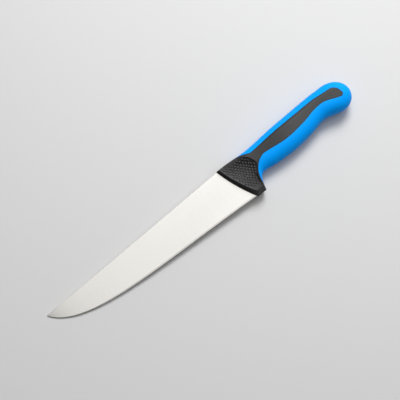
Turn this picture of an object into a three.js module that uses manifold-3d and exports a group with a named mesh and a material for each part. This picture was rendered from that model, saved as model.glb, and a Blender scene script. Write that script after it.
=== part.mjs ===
// A butcher's meat knife lying on its side: a ground steel blade with a tang, a hard handle core moulded
// round the tang, and a soft grip moulded round the core. Millimetres, +X to the butt, +Y to the back, +Z up.
//
// Each piece is drawn in the knife's own frame: x = 0 where the bolster meets the back of the blade, y = 0
// along the straight back, z = 0 on the middle plane of the blade. The group at the end lays the knife down.
import * as THREE from 'three';
import { mergeVertices } from 'three/addons/utils/BufferGeometryUtils.js';
import Module from 'manifold-3d';

const wasm = await Module();
wasm.setup();

// Fit between pieces that touch
const GAP = 0.3;

// Blade
const BLADE_LENGTH = 190; // along the back, tip to bolster
const BLADE_HEIGHT = 38; // back to edge, at the heel
const BACK_THICKNESS = 2.5; // of the back, at the bolster
const POINT_THICKNESS = 1.6; // of the back, at the tip
const HEEL_THICKNESS = 0.7; // behind the edge, at the heel
const BEVEL_HEIGHT = 1; // sharpened band along the edge
const EDGE_FLAT = 0.1; // thickness of the edge itself
const POINT_FLAT = 0.4; // height of the blunted tip
const EDGE_HANDLE = new THREE.Vector2(-103, 9.4); // curve handle of the edge, from the heel
const POINT_HANDLE = new THREE.Vector2(20.5, -32.5); // curve handle of the edge, from the tip

// Tang, hidden in the handle
const SHANK_TOP = 3; // the full-width shank in the bolster, below the back
const SHANK_BOTTOM = 33;
const SHANK_END = 17; // from the bolster's front
const SHANK_OVERLAP = 4; // how far the shank is drawn into the blade that it is one piece with
const TANG_WIDTH = 14;
const TANG_LENGTH = 95; // from the bolster's front
const TANG_CORNER = 4;
const TANG_RELIEF = 0.15; // the tang is thinner than the ground blade by this on each side
const TANG_HOLES = 3;
const TANG_HOLE_RADIUS = 3.5;
const FIRST_HOLE = 42; // from the bolster's front
const LAST_HOLE = 11; // from the tang's end

// Bolster and guard
const FRONT_LEAD = 1.15; // the bolster's front stands this far towards the tip, at the back of the blade
const HEEL_SETBACK = 11.8; // and this far towards the butt, at the heel
const FRONT_BOW = 1.5; // how far that front bows towards the tip in between
const BOLSTER_THICKNESS = 13; // across the two thumb patches
const FRONT_LAND = 2.6; // upright band of the front, round the blade
const FRONT_DRAFT_BACK = 1.4; // the front leans away above the band: at the back
const FRONT_DRAFT_HEEL = 2.45; // and at the heel
const GUARD_DEPTH = 39.2; // end of the guard, below the back
const GUARD_DRAFT_FRONT = 2.2; // chamfer of the guard's end: at its front corner
const GUARD_DRAFT_REAR = 4.2; // and at its rear corner
const GUARD_HEEL = 2.6; // the chamfer's run past the guard's rear corner
const GUARD_RUN = 9.8; // from the finger notch forward to the guard's rear corner
const GUARD_DROP = 11.7; // from the finger notch down to the same corner
const GUARD_CURVE = 2.6; // how sharply the notch turns down into the guard
const PATCH_FILLET = 1.8; // round at the foot of the lip behind each thumb patch
const LIP = [ // round the thumb patch, from the back to the guard; from the notch's station and the back
  [-24, -1.9], [-16, -3.4], [-9, -5], [-5.8, -8], [-3.6, -12], [-2.5, -16.5], [-5, -21.3], [-8.2, -25.5],
  [-9.9, -32], [-10.6, -39.2],
];
const LIP_ROUND_STEPS = 4;

// Handle outline: stations from the bolster's front to the butt, each from the one before
const FRONT_TO_NOTCH = 32;
const NOTCH_TO_SWELL = 33;
const SWELL_TO_WAIST = 36;
const WAIST_TO_HOOK = 21;
const HOOK_TO_BUTT = 14;
const BUTT_BACK_RUN = 20; // length of the round from the back to the butt

// Handle outline: depths below the straight back
const FRONT_RISE = 0.25; // the bolster's front stands proud of the blade by this
const NECK_DROP = 1.5;
const CREST_DROP = 0.4; // from the swell to the waist
const BUTT_DROP = 1.1;
const NOTCH_DEPTH = 25.8;
const SWELL_DEPTH = 29.1;
const WAIST_DEPTH = 25.3;
const HOOK_DEPTH = 30.4;
const BUTT_DEPTH = 17.4;
const NOTCH_EASE = new THREE.Vector2(0.36, 0.58); // share of the way and of the depth, notch to swell
const WAIST_EASE = new THREE.Vector2(0.5, 0.32); // the same, swell to waist

// Handle thickness
const NECK_THICKNESS = 16.6;
const SWELL_THICKNESS = 20;
const WAIST_THICKNESS = 18.8;
const HOOK_THICKNESS = 20;
const BOLSTER_ROUND = 3; // round of the handle's back edges, at the bolster
const NECK_ROUND = 8; // at the neck
const BACK_ROUND = 10; // and behind it
const BELLY_ROUND = 11; // round of the belly edges
const BUTT_ROUND = 10; // round of the butt, seen from the back
const LEAST_ROUNDS = 2.2; // a section is at least as deep as this many of each of its rounds

// Soft grip
const SKIN = 2.4; // depth of the soft layer
const BACK_STRIP_NECK = 5.45; // its width along the back, seen from the side
const BACK_STRIP_SWELL = 5.75;
const BACK_STRIP_WAIST = 6.1;
const BACK_STRIP_HOOK = 7.7;
const BELLY_BAND_NECK = 12.4; // its width along the belly
const BELLY_BAND_SWELL = 10.8;
const BELLY_BAND_WAIST = 11.1;
const BELLY_BAND_HIP = 12.5; // half way from the waist to the hook
const BELLY_BAND_HOOK = 10.3;
const BELLY_BAND_END = 8.3; // beside the rear point of the hard side panel
const BUTT_RING = 9; // its width round the butt
const NECK_STATION = 9; // narrowest place of the hard neck, behind the notch
const WINDOW_END_DEPTH = 18.6; // rear point of the hard side panel, below the back
const WINDOW_TOP_CORNER = 7.5; // length of the rounds that lead to it, above
const WINDOW_LOW_CORNER = 3; // and below
const TAIL_DEPTH = 33.6; // lower end of the belly band, on the guard's rear
const TAIL_WIDTH = 1; // its width there
const TAIL_HANDLES = [new THREE.Vector2(-9, 0.2), new THREE.Vector2(0.6, 10.5)]; // from the neck and the tail
const STRIP_TIP = 17.5; // front end of the back strip, from the bolster's front
const STRIP_TIP_WIDTH = 0.5;
const STRIP_RUN = 15.5; // length over which the strip narrows to its tip
const STRIP_HANDLES = [new THREE.Vector2(-4.2, -0.35), new THREE.Vector2(8, -0.1)]; // from strip and tip

// Fineness of the rounded surfaces
const EDGE_STEPS = 32;
const BACK_ARC_STEPS = 5;
const BELLY_ARC_STEPS = 6;
const BOLSTER_STATIONS = 4;
const GUARD_STATIONS = 9;
const GRIP_STATIONS = 16;
const BUTT_STATIONS = 8;
const CURVE_STEPS = 10; // an even number
const TILT_STEPS = 120; // places along the handle that are tried as its resting place
const BUTT_STOP = 0.07; // angle short of the butt's own point, which is closed flat
const REACH = 60; // how far cutting bodies stand clear of the knife

// Stations of the handle
const BODY_FRONT = -FRONT_LEAD - FRONT_BOW; // clear of the bolster's front, which is cut from the body
const NOTCH_X = FRONT_TO_NOTCH;
const SWELL_X = NOTCH_X + NOTCH_TO_SWELL;
const WAIST_X = SWELL_X + SWELL_TO_WAIST;
const HOOK_X = WAIST_X + WAIST_TO_HOOK;
const BUTT_X = HOOK_X + HOOK_TO_BUTT;
const NECK_X = NOTCH_X + NECK_STATION;
const WINDOW_END_X = BUTT_X - BUTT_RING;

const v2 = (x, y) => new THREE.Vector2(x, y);
const mix = THREE.MathUtils.lerp;
const spread = (from, to, steps) => Array.from({ length: steps + 1 }, (_, i) => mix(from, to, i / steps));
const quarter = (share) => Math.sqrt(Math.max(0, 1 - share * share));

// A smooth curve y(x) through points in order of x: cubic pieces that never overshoot, level beyond the ends.
function curveThrough(...points) {
  const slopes = points.map((p, i) => {
    if (i === 0 || i === points.length - 1) return 0;
    const before = (p[1] - points[i - 1][1]) / (p[0] - points[i - 1][0]);
    const after = (points[i + 1][1] - p[1]) / (points[i + 1][0] - p[0]);
    return before * after <= 0 ? 0 : (2 * before * after) / (before + after);
  });
  return (x) => {
    if (x <= points[0][0]) return points[0][1];
    const i = points.findIndex((p) => x <= p[0]) - 1;
    if (i < 0) return points.at(-1)[1];
    const [x0, y0] = points[i];
    const [x1, y1] = points[i + 1];
    const run = x1 - x0;
    const t = (x - x0) / run;
    const s = t * t * (3 - 2 * t);
    return mix(y0, y1, s) + run * t * (1 - t) * (slopes[i] * (1 - t) - slopes[i + 1] * t);
  };
}

// Front face of the bolster on the middle plane: x at a depth below the back, a parabola that bows forward.
function frontX(depth) {
  const s = depth / BLADE_HEIGHT;
  return mix(-FRONT_LEAD, HEEL_SETBACK, s) - 4 * FRONT_BOW * s * (1 - s);
}

// Half thickness of the flat-ground blade: a plane that falls from the bolster to the edge and to the tip.
function bladeHalf(x, y) {
  const along = (BACK_THICKNESS - POINT_THICKNESS) / BLADE_LENGTH;
  const down = (BACK_THICKNESS - HEEL_THICKNESS) / BLADE_HEIGHT;
  return (BACK_THICKNESS + along * x + down * y) / 2;
}

// Side outline of the handle, and its half thickness, each set in from the surface by an inset.
const backBody = curveThrough(
  [0, FRONT_RISE], [NOTCH_X, -NECK_DROP], [SWELL_X, -CREST_DROP], [WAIST_X, -CREST_DROP],
  [BUTT_X - BUTT_BACK_RUN, -BUTT_DROP],
);
const bellyBody = curveThrough(
  [NOTCH_X, -NOTCH_DEPTH],
  [mix(NOTCH_X, SWELL_X, NOTCH_EASE.x), -mix(NOTCH_DEPTH, SWELL_DEPTH, NOTCH_EASE.y)],
  [SWELL_X, -SWELL_DEPTH],
  [mix(SWELL_X, WAIST_X, WAIST_EASE.x), -mix(SWELL_DEPTH, WAIST_DEPTH, WAIST_EASE.y)],
  [WAIST_X, -WAIST_DEPTH],
  [HOOK_X, -HOOK_DEPTH],
);
const sideBody = curveThrough(
  [NOTCH_X, NECK_THICKNESS / 2], [SWELL_X, SWELL_THICKNESS / 2], [WAIST_X, WAIST_THICKNESS / 2],
  [HOOK_X, HOOK_THICKNESS / 2],
);
const backRound = curveThrough([0, BOLSTER_ROUND], [NOTCH_X, NECK_ROUND], [SWELL_X, BACK_ROUND]);

function backY(x, inset = 0) {
  const start = BUTT_X - BUTT_BACK_RUN;
  if (x <= start) return backBody(x) - inset;
  const rise = BUTT_DEPTH - BUTT_DROP - inset;
  return -BUTT_DEPTH + rise * quarter((x - start) / (BUTT_BACK_RUN - inset));
}

function bellyY(x, inset = 0) {
  const notch = NOTCH_X - inset;
  if (x < notch) {
    const drop = GUARD_DROP * ((notch - x) / GUARD_RUN) ** GUARD_CURVE;
    return Math.max(-NOTCH_DEPTH + inset - drop, -GUARD_DEPTH - 2 * BELLY_ROUND);
  }
  if (x <= HOOK_X) return bellyBody(x) + inset;
  const drop = HOOK_DEPTH - BUTT_DEPTH - inset;
  return -BUTT_DEPTH - drop * quarter((x - HOOK_X) / (HOOK_TO_BUTT - inset));
}

function sideZ(x, inset = 0) {
  const start = BUTT_X - BUTT_ROUND;
  return (sideBody(x) - inset) * (x <= start ? 1 : quarter((x - start) / (BUTT_ROUND - inset)));
}

// One section of the handle across x: flat sides with elliptic rounds to the back and to the belly.
function section(x, inset) {
  const top = backY(x, inset);
  const low = bellyY(x, inset);
  const most = (top - low) / LEAST_ROUNDS;
  const back = Math.min(backRound(x) - inset, most);
  const belly = Math.min(BELLY_ROUND - inset, most);
  const arc = (steps) => spread(0, Math.PI / 2, steps).map((angle) => 1 - Math.cos(angle));
  const depths = [
    ...arc(BACK_ARC_STEPS).map((share) => top - back * share),
    ...arc(BELLY_ARC_STEPS).reverse().map((share) => low + belly * share),
  ];
  const height = (y) =>
    sideZ(x, inset) *
    quarter(1 - Math.min((top - y) / back, 1)) *
    quarter(1 - Math.min((y - low) / belly, 1));
  const upper = depths.map((y, i) => {
    const onMiddle = i === 0 || i === depths.length - 1;
    return new THREE.Vector3(x, y, onMiddle ? 0 : height(y));
  });
  const lower = upper.slice(1, -1).reverse().map((p) => new THREE.Vector3(p.x, p.y, -p.z));
  return [...upper, ...lower];
}

// Triangles that close a flat ring, in the ring's own direction.
function cap(ring) {
  const upright = ring.every((p) => p.x === ring[0].x);
  const flat = ring.map((p) => (upright ? v2(p.y, p.z) : v2(p.x, p.y)));
  const faces = THREE.ShapeUtils.triangulateShape(flat, []);
  return THREE.ShapeUtils.isClockWise(flat) ? faces.map((face) => face.reverse()) : faces;
}

// A closed body through flat rings of as many points each.
function loft(rings) {
  const count = rings[0].length;
  const last = (rings.length - 1) * count;
  const index = [];
  for (let i = 0; i < count; i++) {
    const j = (i + 1) % count;
    for (let a = 0; a < last; a += count) {
      index.push(a + i, a + count + i, a + j, a + j, a + count + i, a + count + j);
    }
  }
  for (const face of cap(rings[0])) index.push(...face);
  for (const face of cap(rings.at(-1))) index.push(...face.reverse().map((i) => last + i));
  return new THREE.BufferGeometry().setFromPoints(rings.flat()).setIndex(index);
}

// An outline in the x-y plane raised from one height to another.
function raise(shape, from, to, options = {}) {
  const settings = { depth: to - from, bevelEnabled: false, curveSegments: CURVE_STEPS, ...options };
  return new THREE.ExtrudeGeometry(shape, settings).translate(0, 0, from);
}

// The solid of a closed geometry, turned over through the middle plane if mirrored.
function solid(geometry, mirrored = false) {
  const bare = new THREE.BufferGeometry().setAttribute('position', geometry.getAttribute('position').clone());
  bare.setIndex(geometry.index);
  if (mirrored) bare.scale(1, 1, -1);
  const merged = mergeVertices(bare, 1e-4);
  const triVerts = new Uint32Array(merged.index.array);
  const mesh = (order) => new wasm.Mesh({
    numProp: 3, vertProperties: merged.attributes.position.array, triVerts: order,
  });
  const body = new wasm.Manifold(mesh(triVerts));
  return body.volume() > 0 ? body : new wasm.Manifold(mesh(triVerts.reverse()));
}

// An outline of close points moved outwards by a distance, square to its run.
function grown(points, distance) {
  const side = THREE.ShapeUtils.isClockWise(points) ? -1 : 1;
  return points.map((p, i) => {
    const along = points[(i + 1) % points.length].clone().sub(points.at(i - 1)).normalize();
    return v2(p.x + side * distance * along.y, p.y - side * distance * along.x);
  });
}

// The blade: hexagonal sections from the tip to the heel, cut off along the bolster's front.
function groundBlade() {
  const heel = v2(HEEL_SETBACK, -BLADE_HEIGHT);
  const point = v2(-BLADE_LENGTH, -POINT_FLAT);
  const edge = new THREE.CubicBezierCurve(
    heel, heel.clone().add(EDGE_HANDLE), point.clone().add(POINT_HANDLE), point,
  );
  const rings = edge.getPoints(EDGE_STEPS).map(({ x, y }) => {
    const shoulder = y + Math.min(BEVEL_HEIGHT, -y / 2);
    const upper = [
      new THREE.Vector3(x, 0, bladeHalf(x, 0)),
      new THREE.Vector3(x, shoulder, bladeHalf(x, shoulder)),
      new THREE.Vector3(x, y, EDGE_FLAT / 2),
    ];
    return [...upper, ...upper.slice().reverse().map((p) => new THREE.Vector3(p.x, p.y, -p.z))];
  });
  const front = spread(0, BLADE_HEIGHT + GUARD_DROP, CURVE_STEPS).map((d) => v2(frontX(d) - GAP, -d));
  const behind = [v2(front[0].x, REACH), ...front, v2(REACH, -REACH), v2(REACH, REACH)];
  return solid(loft(rings)).subtract(solid(raise(new THREE.Shape(behind), -REACH, REACH)));
}

// The shank and tang behind the bolster's front, larger all round by a growth, with smaller holes.
function tang(growth) {
  const middle = -(NECK_DROP + NOTCH_DEPTH) / 2;
  const top = middle + TANG_WIDTH / 2 + growth;
  const low = middle - TANG_WIDTH / 2 - growth;
  const end = TANG_LENGTH + growth;
  const shank = SHANK_END + growth;
  const corner = TANG_CORNER + growth;
  const shape = new THREE.Shape()
    .moveTo(frontX(SHANK_TOP) - SHANK_OVERLAP, -SHANK_TOP + growth)
    .lineTo(frontX(SHANK_BOTTOM) - SHANK_OVERLAP, -SHANK_BOTTOM - growth)
    .lineTo(shank, -SHANK_BOTTOM - growth)
    .lineTo(shank, low)
    .lineTo(end - corner, low)
    .absarc(end - corner, low + corner, corner, -Math.PI / 2, 0)
    .absarc(end - corner, top - corner, corner, 0, Math.PI / 2)
    .lineTo(shank, top)
    .lineTo(shank, -SHANK_TOP + growth);
  for (const x of spread(FIRST_HOLE, TANG_LENGTH - LAST_HOLE, TANG_HOLES - 1)) {
    shape.holes.push(new THREE.Path().absarc(x, middle, TANG_HOLE_RADIUS - growth, 0, 2 * Math.PI));
  }
  const half = (x, y) => bladeHalf(x, y) - TANG_RELIEF + growth;
  const clear = end + TANG_CORNER;
  const corners = [v2(-REACH, 0), v2(-REACH, -REACH), v2(clear, -REACH), v2(clear, 0)];
  const wedge = [1, -1].map((side) => corners.map((p) => new THREE.Vector3(p.x, p.y, side * half(p.x, p.y))));
  return solid(raise(shape, -BACK_THICKNESS, BACK_THICKNESS)).intersect(solid(loft(wedge)));
}

// Limits of the bolster: its leaning front and the chamfered end of its guard, the same above and below.
function bolsterLimits() {
  const land = FRONT_LAND / 2;
  const patch = BOLSTER_THICKNESS / 2;
  const rear = NOTCH_X - GUARD_RUN;
  const ring = (z) => {
    const lean = Math.max(0, z - land) / (patch - land);
    const front = spread(0, GUARD_DEPTH, CURVE_STEPS).map((depth) => {
      const draft = mix(FRONT_DRAFT_BACK, FRONT_DRAFT_HEEL, depth / GUARD_DEPTH);
      return v2(frontX(depth) + draft * lean, -depth);
    });
    const toe = front.pop();
    const guardEnd = (x) => {
      const share = (x - toe.x) / (rear - toe.x);
      return v2(x, -GUARD_DEPTH + lean * mix(GUARD_DRAFT_FRONT, GUARD_DRAFT_REAR, share));
    };
    const behind = rear + GUARD_HEEL;
    const outline = [
      v2(front[0].x, REACH), ...front, guardEnd(toe.x), guardEnd(behind),
      v2(behind, -REACH), v2(BUTT_X + REACH, -REACH), v2(BUTT_X + REACH, REACH),
    ];
    return outline.map((p) => new THREE.Vector3(p.x, p.y, z));
  };
  const upper = loft([-land / 2, land, SWELL_THICKNESS].map(ring));
  return solid(upper).add(solid(upper, true));
}

// Front boundary of the belly band: from the hard neck's narrowest place down to the guard's rear.
function tailCurve() {
  const neck = v2(NECK_X, bellyY(NECK_X) + BELLY_BAND_NECK);
  const drop = (TAIL_DEPTH - NOTCH_DEPTH) / GUARD_DROP;
  const tail = v2(NOTCH_X - GUARD_RUN * drop ** (1 / GUARD_CURVE) - TAIL_WIDTH, -TAIL_DEPTH);
  return new THREE.CubicBezierCurve(
    neck, neck.clone().add(TAIL_HANDLES[0]), tail.clone().add(TAIL_HANDLES[1]), tail,
  );
}

// Outline of what stays hard and shows: the bolster, the neck and the side panel that runs to the butt.
function hardOutline() {
  const strip = curveThrough(
    [NECK_X, BACK_STRIP_NECK], [SWELL_X, BACK_STRIP_SWELL], [WAIST_X, BACK_STRIP_WAIST],
    [HOOK_X, BACK_STRIP_HOOK],
  );
  const band = curveThrough(
    [NECK_X, BELLY_BAND_NECK], [SWELL_X, BELLY_BAND_SWELL], [WAIST_X, BELLY_BAND_WAIST],
    [(WAIST_X + HOOK_X) / 2, BELLY_BAND_HIP], [HOOK_X, BELLY_BAND_HOOK], [WINDOW_END_X, BELLY_BAND_END],
  );
  const low = (x) => bellyY(x) + band(x);
  const top = (x) => backY(x) - strip(x);
  const end = v2(WINDOW_END_X, -WINDOW_END_DEPTH);
  const round = (edge, corner) => spread(0, Math.PI / 2, CURVE_STEPS / 2).map((angle) => {
    const start = end.x - corner;
    return v2(start + corner * Math.sin(angle), mix(end.y, edge(start), Math.cos(angle)));
  });
  const stripFront = STRIP_TIP + STRIP_RUN;
  const full = v2(stripFront, top(stripFront));
  const tip = v2(STRIP_TIP, backY(STRIP_TIP) - STRIP_TIP_WIDTH);
  const nose = new THREE.CubicBezierCurve(
    full, full.clone().add(STRIP_HANDLES[0]), tip.clone().add(STRIP_HANDLES[1]), tip,
  );
  const tail = tailCurve().getPoints(CURVE_STEPS).reverse();
  return [
    v2(STRIP_TIP, REACH), v2(-REACH, REACH), v2(-REACH, -REACH),
    v2(NOTCH_X, -REACH), v2(NOTCH_X, -TAIL_DEPTH), ...tail,
    ...spread(NECK_X, end.x - WINDOW_LOW_CORNER, 2 * CURVE_STEPS).slice(1, -1).map((x) => v2(x, low(x))),
    ...round(low, WINDOW_LOW_CORNER),
    ...round(top, WINDOW_TOP_CORNER).reverse().slice(1),
    ...spread(end.x - WINDOW_TOP_CORNER, stripFront, 2 * CURVE_STEPS).slice(1, -1).map((x) => v2(x, top(x))),
    ...nose.getPoints(CURVE_STEPS),
  ];
}

// The hollow over each thumb patch: in front of a curved lip, with a round at the lip's foot.
function patchHollow() {
  const lip = new THREE.SplineCurve(LIP.map(([x, y]) => v2(NOTCH_X + x, y))).getPoints(2 * CURVE_STEPS);
  const outline = [
    v2(-REACH, REACH), v2(lip[0].x, REACH), ...lip, v2(lip.at(-1).x, -REACH), v2(-REACH, -REACH),
  ];
  const foot = BOLSTER_THICKNESS / 2 + PATCH_FILLET;
  return raise(new THREE.Shape(outline), foot, foot + SWELL_THICKNESS, {
    bevelEnabled: true, bevelThickness: PATCH_FILLET, bevelSize: PATCH_FILLET, bevelOffset: -PATCH_FILLET,
    bevelSegments: LIP_ROUND_STEPS,
  });
}

// The handle's rounded body between a front station and the butt, set in from its surface by an inset.
function handleBody(from, inset) {
  const guard = NOTCH_X - GUARD_RUN - GUARD_HEEL;
  const front = [
    ...spread(BODY_FRONT, guard, BOLSTER_STATIONS), ...spread(guard, NOTCH_X, GUARD_STATIONS).slice(1),
  ];
  const stations = [
    from,
    ...front.filter((x) => x > from + GAP),
    ...spread(NOTCH_X, BUTT_X - BUTT_BACK_RUN, GRIP_STATIONS).slice(1, -1),
    ...spread(0, Math.PI / 2 - BUTT_STOP, BUTT_STATIONS).map(
      (angle) => BUTT_X - BUTT_BACK_RUN + (BUTT_BACK_RUN - inset) * Math.sin(angle),
    ),
  ];
  return solid(loft(stations.map((x) => section(x, inset))));
}

function blade() {
  return groundBlade().add(tang(0));
}

const hard = hardOutline();
const hollow = patchHollow();
const whole = handleBody(BODY_FRONT, 0)
  .intersect(bolsterLimits())
  .subtract(solid(hollow))
  .subtract(solid(hollow, true));

function handleCore() {
  const shown = whole.intersect(solid(raise(new THREE.Shape(hard), -SWELL_THICKNESS, SWELL_THICKNESS)));
  return shown.add(handleBody(NOTCH_X - GUARD_RUN, SKIN)).subtract(tang(GAP));
}

function softGrip() {
  const window = raise(new THREE.Shape(grown(hard, GAP)), -SWELL_THICKNESS, SWELL_THICKNESS);
  return whole.subtract(solid(window)).subtract(handleBody(NOTCH_X - GUARD_RUN - GAP, SKIN - GAP));
}

// A named mesh of a solid in its finish.
function piece(name, body, finish) {
  const { vertProperties, triVerts } = body.getMesh();
  const geometry = new THREE.BufferGeometry()
    .setAttribute('position', new THREE.BufferAttribute(new Float32Array(vertProperties), 3))
    .setIndex(new THREE.BufferAttribute(new Uint32Array(triVerts), 1));
  geometry.computeVertexNormals();
  const mesh = new THREE.Mesh(geometry, new THREE.MeshStandardMaterial(finish));
  mesh.name = name;
  return mesh;
}

const knife = new THREE.Group();
knife.add(
  piece('blade', blade(), { color: 0xd8d6d0, roughness: 0.32, metalness: 1 }),
  piece('handle_core', handleCore(), { color: 0x2a2a2b, roughness: 0.62, metalness: 0 }),
  piece('soft_grip', softGrip(), { color: 0x0078d8, roughness: 0.5, metalness: 0 }),
);

// Laid on its side, the knife touches the table with its tip and with the fullest part of its handle.
const tipLow = new THREE.Vector3(-BLADE_LENGTH, 0, -bladeHalf(-BLADE_LENGTH, 0));
const tilt = Math.max(
  ...spread(NOTCH_X, BUTT_X, TILT_STEPS).map((x) => Math.atan2(tipLow.z + sideZ(x), x - tipLow.x)),
);
knife.rotation.y = -tilt;
const box = new THREE.Box3().setFromObject(knife, true);
knife.position.set(-(box.min.x + box.max.x) / 2, -(box.min.y + box.max.y) / 2, -box.min.z);

const part = new THREE.Group();
part.add(knife);

export default part;
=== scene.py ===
"""Meat knife lying on its side: blade, handle core, thumb bumps and soft grip, on a pale studio floor.

The knife is drawn in its own frame, in metres: x = 0 where the bolster meets the back of the blade, growing
to the butt; y = 0 along the straight back, growing away from the edge; z = 0 on the blade's middle plane.
"""

from collections import namedtuple

import bmesh
import bpy
import numpy as np
from bpy.props import FloatProperty, FloatVectorProperty, PointerProperty
from bpy.types import Operator, Panel, PropertyGroup
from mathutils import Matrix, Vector


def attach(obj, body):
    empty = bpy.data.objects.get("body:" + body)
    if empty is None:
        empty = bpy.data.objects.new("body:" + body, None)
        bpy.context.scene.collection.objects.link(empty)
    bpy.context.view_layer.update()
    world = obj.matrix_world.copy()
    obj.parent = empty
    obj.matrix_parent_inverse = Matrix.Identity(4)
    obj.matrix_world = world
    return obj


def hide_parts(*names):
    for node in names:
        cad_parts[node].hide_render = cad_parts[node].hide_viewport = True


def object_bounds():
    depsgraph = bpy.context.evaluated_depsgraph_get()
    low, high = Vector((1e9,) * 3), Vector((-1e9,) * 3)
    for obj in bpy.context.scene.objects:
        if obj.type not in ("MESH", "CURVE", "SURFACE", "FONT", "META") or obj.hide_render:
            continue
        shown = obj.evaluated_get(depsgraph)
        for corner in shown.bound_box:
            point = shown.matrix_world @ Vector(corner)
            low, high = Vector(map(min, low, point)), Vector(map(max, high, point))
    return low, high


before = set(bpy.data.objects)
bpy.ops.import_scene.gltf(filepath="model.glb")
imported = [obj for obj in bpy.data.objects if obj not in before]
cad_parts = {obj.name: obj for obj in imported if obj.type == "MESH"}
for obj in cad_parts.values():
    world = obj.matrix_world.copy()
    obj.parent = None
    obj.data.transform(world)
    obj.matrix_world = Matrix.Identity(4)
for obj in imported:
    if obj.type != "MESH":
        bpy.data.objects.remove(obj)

bl_info = {
    "name": "Meat Knife",
    "version": (1, 0, 0),
    "blender": (4, 5, 0),
    "location": "3D View > Sidebar > Knife",
    "description": "Builds a meat knife with a two-component handle, and a studio stage for it",
    "category": "Add Mesh",
}

CAD_BOX = [list(corner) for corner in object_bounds()]
IMAGE_SIDE = 400  # pixels
MM = 0.001
WELD = 2e-6  # points closer than this are one point

# Side view of the knife; the handles are those of curves, each from its own end
EDGE_HANDLES = np.array([[-103, 9.4], [20.5, -32.5]]) * MM  # cutting edge, from the heel and the tip
TAIL_HANDLES = np.array([[-9, 0.2], [0.6, 10.5]]) * MM  # belly band's front, from the neck and the tail
NOSE_HANDLES = np.array([[-4.2, -0.35], [8, -0.1]]) * MM  # back strip's front, from its root and its tip
GUARD_CURVE = 2.6  # how sharply the finger notch turns down into the guard
RISE_PART = 0.36  # place of the belly's rise, from the notch to the swell
FALL_PART = 0.5  # place of its fall, from the swell to the waist
LIP = np.array([  # round the thumb patch, from the guard to the back; from the notch's station and the back
    [-10.6, -39.2], [-9.9, -32], [-8.2, -25.5], [-5, -21.3], [-2.5, -16.5],
    [-3.6, -12], [-5.8, -8], [-9, -5], [-12.5, -2.6], [-16, -1]]) * MM
LIP_LEAVE = np.array([-8.1, -5.6]) * MM  # where the patch's surface goes on past the lip
NOSE_JOIN = 25.3 * MM  # station where that surface comes to the back strip
NECK_TURN = 18 * MM  # depth where the lip parts from the belly band
FAN_END = 37 * MM  # station of the belly band's edge that the lip's upper end looks at
FAN_STEP = 4 * MM  # how far behind the neck the row from the full back strip ends
NOTCH_LEAD = 1.5 * MM  # the row between the tail's halves runs from this far above the notch to behind it

# Heights over the side view
LEAST_ROUNDS = 2.2  # a section is at least as deep as this many of each of its rounds
RIDGE_PART = 0.36  # place of the faint grind line, from the back to the edge
MOST_GRIND = 0.03  # steepest slope of the flat grind, at the point
SHADE_LINE_STATIONS = np.array([-150, -120, -80, 0]) * MM  # stations of the painted shade line where the bevel starts, a darker reflection painted into the steel
SHADE_LINE_LEVELS = [0, 1, 0.9, 0.1]  # how strong it is at each of them
SCOOP_FADE = np.array([-26, -15]) * MM  # between these the scoop under the lip gets short towards the guard
LEAST_SOFT = 0.01  # least share of a crease's softening, at the lip
SLOPE_STEP = 0.02 * MM  # the lip's slope is taken this far to each side

# Fineness of the surfaces
LINE_STEPS = 160  # points of a drawn line
ROUND_COLUMNS = 6  # columns of a small round
ROUND_SHARE = 0.4  # most of a row's width that a small round takes
BACK_COLUMNS = 8  # columns of the round at the blade's back
RIDGE_COLUMNS = 26  # columns from there to the bevel
BEVEL_STEPS = np.array([1.4, 1.15, 1, 0.85, 0.6, 0.3, 0])  # distances from the edge, in bevel heights
CORNER_ROWS = 12  # rows of the tang's rear corners
PATCH_ROWS = 160  # rows of a thumb patch, from the back to the guard's end
PATCH_COLUMNS = 44  # its columns from the leaning front to the band before the lip
FRONT_STEPS = np.array([0, 0.2, 0.4, 0.6, 0.8, 0.95, 1.1, 1.3])  # columns of that front, in leans
LIP_COLUMNS = 12  # columns of that band
LIP_BAND = 2.4 * MM  # width of that band
MOST_STRETCH = 2.0  # most times that width along a row, where the lip lies aslant
SETTLE_ROUNDS = 4  # how often a patch's points are set anew on their stations and depths
BODY_ROWS = 150  # rows of the side panel up to the butt
END_ROWS = 40  # and in the butt
PANEL_COLUMNS = 26  # its columns from one small round to the other
STRIP_ROWS = 130  # rows of the back strip, and of the belly band
BUTT_ROWS = 60  # rows of each half of the butt's ring
TAIL_ROWS = 50  # rows of each half of the tail
GRIP_COLUMNS = 34  # columns of the soft grip from its small round out to the silhouette
LATTICE_REACH = 14  # how many bumps are tried each way from the first one
BUMP_SIDES = 10  # corners round a bump
DOME_RINGS = 4  # rings from its top to its foot
SHARP_STEEL = np.radians(13)  # edges sharper than this stay crisp
SHARP_PLASTIC = np.radians(40)
ALL = slice(None)

# Patterns of the finishes
MARK = "painted_shade_line"  # attribute that is 1 on the line where the bevel starts, where a darker reflection is painted as shade
NOISE_MIDDLE = 0.5  # about which a noise makes things more or less rough
GRIND_LINES = 5200  # fine lines of the grind, in waves to the metre
LINE_STRETCH = (1, 0.02, 0.02)  # they run from the back to the edge
LINE_GLOSS = 0.06  # how far they change the roughness
GRIND_BANDS = 700  # broader lines, in waves to the metre
BAND_STRETCH = (1, 0.05, 0.05)
BAND_RISE = 0.5  # their height, in heights of the fine lines
STEEL_CLOUDS = 22  # clouds of tone, in waves to the metre
CLOUD_GLOSS = 0.1  # how far they change the roughness
TONE_SHARES = (0.5, 0.3, 0.4)  # of the lines, the bands and the clouds in the steel's tone
TONE_START = 0.1  # taken off their sum
GRIND_DEPTH = 0.004 * MM  # height of the fine lines
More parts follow.
